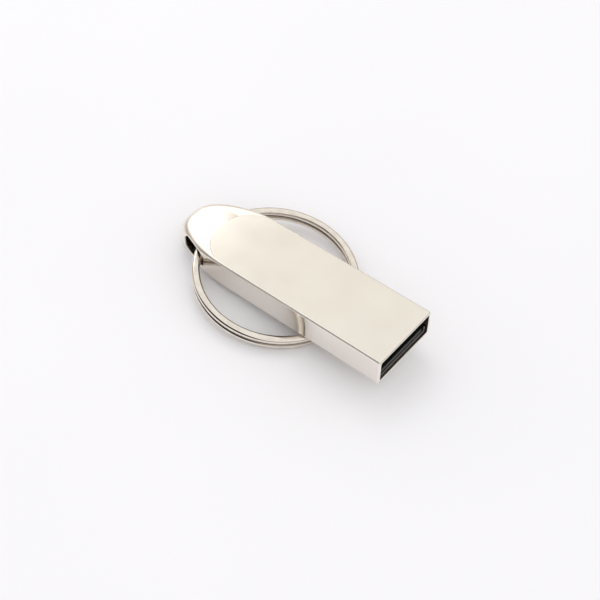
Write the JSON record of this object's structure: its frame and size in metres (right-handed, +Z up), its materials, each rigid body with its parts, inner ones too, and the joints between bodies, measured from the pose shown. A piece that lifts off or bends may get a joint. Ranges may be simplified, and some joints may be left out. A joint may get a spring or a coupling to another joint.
{
  "type": "usb flash drive",
  "caption": "Metal flash drive whose one-piece case is also its plug shell, with a split key ring that swings through an eyelet in its tapered tail.",
  "frame": {"origin": "on the table, under the middle of the drive's bounding box as it lies with the ring folded under the belly", "axes": "+Z up from the table, +X towards the plug's mouth, +Y to the left of someone looking along +X"},
  "size_m": [0.0402, 0.025, 0.0079],
  "materials": {
    "satin_nickel": "satin nickel plate",
    "polished_nickel": "polished nickel plate",
    "black_plastic": "matt moulded",
    "board": "solder resist",
    "gold": "gold flash",
    "black_resin": "moulded resin",
    "crystal_can": "plain metal can",
    "capacitor_ceramic": "fired ceramic",
    "resistor_black": "glazed"
  },
  "bodies": {
    "drive": {"metal_case": "satin_nickel", "plastic_tray": "black_plastic", "circuit_board": "board", "contact_power": "gold", "contact_data_minus": "gold", "contact_data_plus": "gold", "contact_ground": "gold", "flash_chip": "black_resin", "controller_chip": "black_resin", "crystal": "crystal_can", "capacitor_1": "capacitor_ceramic", "capacitor_2": "capacitor_ceramic", "capacitor_3": "capacitor_ceramic", "capacitor_4": "capacitor_ceramic", "capacitor_5": "capacitor_ceramic", "resistor_1": "resistor_black", "resistor_2": "resistor_black", "resistor_3": "resistor_black", "resistor_4": "resistor_black"},
    "ring": {"key_ring": "polished_nickel"}
  },
  "joints": [
    {"name": "ring_swing", "type": "hinge", "parent": "drive", "child": "ring", "pos_m": [-0.01471, -0.0004, 0.0024], "axis": [0, 1, 0], "range_deg": [0, 341.5]}
  ]
}
